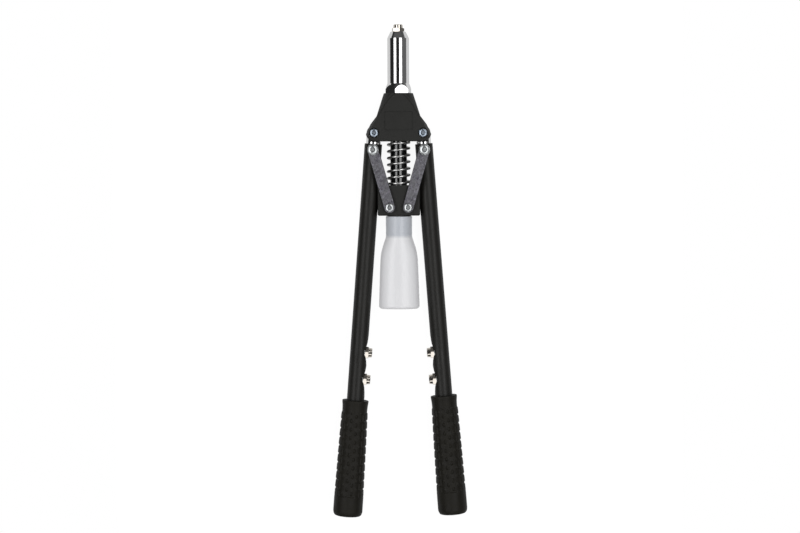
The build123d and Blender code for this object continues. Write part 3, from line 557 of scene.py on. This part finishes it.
def grip(side_name, side):
    """Rubber grip with a plain collar, scalloped flanks, raised pads and a rounded end."""
    place = handle_matrix(side)
    node = f"{side_name}_grip"
    start, end = span(node, place)
    length = end - start
    tube_end = span(f"{side_name}_handle_tube", place)[1]
    piece = new_piece(f"{side_name}_rubber_grip", "grip_rubber", f"{side_name}_handle", node)

    def ring(distance, radius_at):
        points = []
        for i in range(GRIP_SIDES):
            angle = 2 * pi * i / GRIP_SIDES
            radius = radius_at(angle)
            point = Vector((radius * cos(angle), -(start + distance), radius * sin(angle)))
            points.append(place @ point)
        return points

    rings = [
        ring(tube_end - start, lambda angle: GRIP_BORE),
        ring(LEAD_IN_PLACES[0], lambda angle: GRIP_BORE),
        ring(LEAD_IN_PLACES[1], lambda angle: GRIP_BORE + GRIP_LEAD_IN),
    ]
    for turn in steps(6):
        inset = GRIP_EDGE * (1 - sin(turn * pi / 2))
        drop = GRIP_EDGE * (1 - cos(turn * pi / 2))
        rings.append(ring(drop, lambda angle: grip_radius(angle, 0, length) - inset))
    for t in steps(GRIP_ROWS)[1:]:
        distance = GRIP_EDGE + (length - GRIP_EDGE) * t
        rings.append(ring(distance, lambda angle: grip_radius(angle, distance, length)))
    fill(piece, rings)


# Bottle. Its profile, corner, beads and base are in millimetres.

BOTTLE_SIDES = 96
BOTTLE_WALL = 1.2 * MM
BOTTLE_NECK = 14.2
BOTTLE_PROFILE = [
    (0, 14.2), (20.8, 14.2), (27.5, 16.0), (35.0, 18.3), (41.5, 19.7), (48.0, 20.3), (100.4, 22.2),
]
BOTTLE_CORNER = 3.8
NECK_BEADS = [(1.9, 0.35), (5.0, 0.22), (7.4, 0.22), (9.8, 0.22), (17.6, 0.25)]
BEAD_WIDTH = 0.55
NECK_GROOVE = 0.05
NECK_FADE = (19, 3)
BASE_RINGS = [(0.93, 0.0), (0.86, 0.35), (0.78, 1.0), (0.6, 1.5), (0.3, 1.7)]


def bottle_ring(back, half_width, depth, top):
    """Oval ring of the bottle at a distance below its top."""
    points = []
    for i in range(BOTTLE_SIDES):
        angle = 2 * pi * i / BOTTLE_SIDES
        points.append(Vector((half_width * MM * cos(angle), top - back * MM, depth * MM * sin(angle))))
    return points


def bottle():
    """Blow-moulded bottle: ringed round neck, oval body and pushed-up base."""
    low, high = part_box("mandrel_bottle")
    top = high.y
    length = (high.y - low.y) / MM
    piece = new_piece("mandrel_bottle_shell", "bottle_plastic", "bottle", "mandrel_bottle")
    rings = []
    for t in steps(150):
        back = t * (length - BOTTLE_CORNER)
        half_width = through(BOTTLE_PROFILE, back)
        on_neck = 1 - smooth((back - NECK_FADE[0]) / NECK_FADE[1])
        bead = sum(height * exp(-((back - where) / BEAD_WIDTH) ** 2) for where, height in NECK_BEADS)
        lift = (bead - NECK_GROOVE) * on_neck
        rings.append(bottle_ring(back, half_width + lift, BOTTLE_NECK + lift, top))
    foot = through(BOTTLE_PROFILE, length)
    for t in steps(8)[1:]:
        angle = t * pi / 2
        inset = BOTTLE_CORNER * (1 - cos(angle))
        back = length - BOTTLE_CORNER + BOTTLE_CORNER * sin(angle)
        rings.append(bottle_ring(back, foot - inset, BOTTLE_NECK - inset, top))
    flat = foot - BOTTLE_CORNER
    deep = BOTTLE_NECK - BOTTLE_CORNER
    for share, push in BASE_RINGS:
        rings.append(bottle_ring(length - push, flat * share, deep * share, top))
    fill(piece, rings, closed_ends=(False, True))
    wall = piece.modifiers.new("wall", "SOLIDIFY")
    wall.thickness = BOTTLE_WALL
    wall.offset = -1
    wall.use_even_offset = True


# Floor, lights and camera

FLOOR_HALF = (0.31, 0.50)
FLOOR_GAP = 0.2 * MM
FLOOR_GLOW_SEEN = 0.93
FLOOR_GLOW_REFLECTED = 0.52

# Softboxes: name, aim, tilt, heading, distance, size and radiance
SOFTBOXES = [
    ("softbox_left", (0, -0.10, 0), radians(34.5), pi, 1.3, (0.54, 1.9), 2.4),
    ("softbox_right", (0, -0.10, 0), radians(25.5), 0, 1.3, (0.62, 1.9), 2.4),
    ("softbox_low", (0, -0.2, 0), radians(46), -pi / 2, 1.6, (0.62, 0.9), 1.3),
]
# Grey of the room against a direction's X and Y: low grey, high grey, and where it turns
ROOM_SIDE = (0.019, 0.118, 0.62, 0.72)
ROOM_AHEAD = (0.0, 0.075, 0.70, 0.78)


def stage_floor():
    """Pale lit table top under the tool, near white to the camera and dimmer in reflections."""
    floor = bpy.data.objects.new("floor", bpy.data.meshes.new("floor"))
    bpy.context.scene.collection.objects.link(floor)
    middle = (cad_low + cad_high) / 2
    level = cad_low.z - FLOOR_GAP
    points = [
        (middle.x + x * FLOOR_HALF[0], middle.y + y * FLOOR_HALF[1], level)
        for x, y in ((-1, -1), (1, -1), (1, 1), (-1, 1))
    ]
    floor.data.from_pydata(points, [], [(0, 1, 2, 3)])
    look = Look("floor", (0.16, 0.16, 0.16), roughness=0.9)
    look.shader.inputs["Emission Color"].default_value = (1, 1, 1, 1)
    seen = look.tree.nodes.new("ShaderNodeLightPath").outputs["Is Camera Ray"]
    glow = look.spread(seen, FLOOR_GLOW_REFLECTED, FLOOR_GLOW_SEEN)
    look.link(glow, look.shader.inputs["Emission Strength"])
    floor.data.materials.append(look.material)


def placed(spot, right, up, back):
    """Matrix of a lamp or camera at a spot, looking against back."""
    return Matrix.Translation(spot) @ Matrix((right, up, back)).transposed().to_4x4()


def soft_light(name, aim, tilt, turn, distance, size, radiance):
    """Rectangular softbox that faces the aim point, tilted from the vertical towards a heading."""
    aim = Vector(aim)
    light = bpy.data.lights.new(name, "AREA")
    light.shape = "RECTANGLE"
    light.size, light.size_y = size
    light.energy = radiance * pi * size[0] * size[1]
    lamp = bpy.data.objects.new(name, light)
    bpy.context.scene.collection.objects.link(lamp)
    heading = Vector((cos(turn), sin(turn), 0))
    away = heading * sin(tilt) + Vector((0, 0, cos(tilt)))
    spot = aim + away * distance
    long_way = Vector((0, 1, 0)) if abs(heading.x) > 0.5 else Vector((1, 0, 0))
    across = long_way.cross(away).normalized()
    up = away.cross(across)
    lamp.matrix_world = placed(spot, across, up, away)


def lights():
    """Softboxes left, right and past the grips."""
    for box in SOFTBOXES:
        soft_light(*box)


def studio():
    """Room that is white to the camera, and otherwise dark with a lighter right and nose end."""
    world = bpy.data.worlds.new("studio")
    world.use_nodes = True
    tree = world.node_tree
    room = tree.nodes["Background"]
    heading = tree.nodes.new("ShaderNodeSeparateXYZ")
    direction = tree.nodes.new("ShaderNodeTexCoord").outputs["Generated"]
    tree.links.new(direction, heading.inputs["Vector"])
    both = tree.nodes.new("ShaderNodeMath")
    both.operation = "ADD"
    tree.links.new(remap(tree, heading.outputs["X"], *ROOM_SIDE), both.inputs[0])
    tree.links.new(remap(tree, heading.outputs["Y"], *ROOM_AHEAD), both.inputs[1])
    tree.links.new(both.outputs["Value"], room.inputs["Color"])
    backdrop = tree.nodes.new("ShaderNodeBackground")
    backdrop.inputs["Color"].default_value = (1, 1, 1, 1)
    path = tree.nodes.new("ShaderNodeLightPath")
    mix = tree.nodes.new("ShaderNodeMixShader")
    tree.links.new(path.outputs["Is Camera Ray"], mix.inputs["Fac"])
    tree.links.new(room.outputs["Background"], mix.inputs[1])
    tree.links.new(backdrop.outputs["Background"], mix.inputs[2])
    tree.links.new(mix.outputs["Shader"], tree.nodes["World Output"].inputs["Surface"])
    bpy.context.scene.world = world
    bpy.context.scene.view_settings.view_transform = "Standard"


CAMERA_BACK = -0.16
CAMERA_HEIGHT = 2.25
CAMERA_AIM = Vector((0.0009, -0.26166, 0.0))
CAMERA_ROLL = radians(0.263)
CAMERA_LENS = 93.33
CAMERA_SENSOR = 36.0
CAMERA_REACH = 50


def camera():
    """Long lens looking almost straight down on the tool, from above its head."""
    lens = bpy.data.cameras.new("camera")
    lens.lens = CAMERA_LENS
    lens.sensor_width = CAMERA_SENSOR
    lens.clip_end = CAMERA_REACH
    view = bpy.data.objects.new("camera", lens)
    bpy.context.scene.collection.objects.link(view)
    spot = Vector((CAMERA_AIM.x, CAMERA_BACK, CAMERA_HEIGHT))
    back = (spot - CAMERA_AIM).normalized()
    up = Vector((sin(CAMERA_ROLL), cos(CAMERA_ROLL), 0))
    right = up.cross(back).normalized()
    up = back.cross(right)
    view.matrix_world = placed(spot, right, up, back)
    bpy.context.scene.camera = view


def main():
    """Dress the frame, build the pieces that replace plain CAD ones, then light and look."""
    dress_frame()
    springs()
    for side_name, side in SIDES.items():
        grip(side_name, side)
    bottle()
    stage_floor()
    lights()
    studio()
    camera()


main()
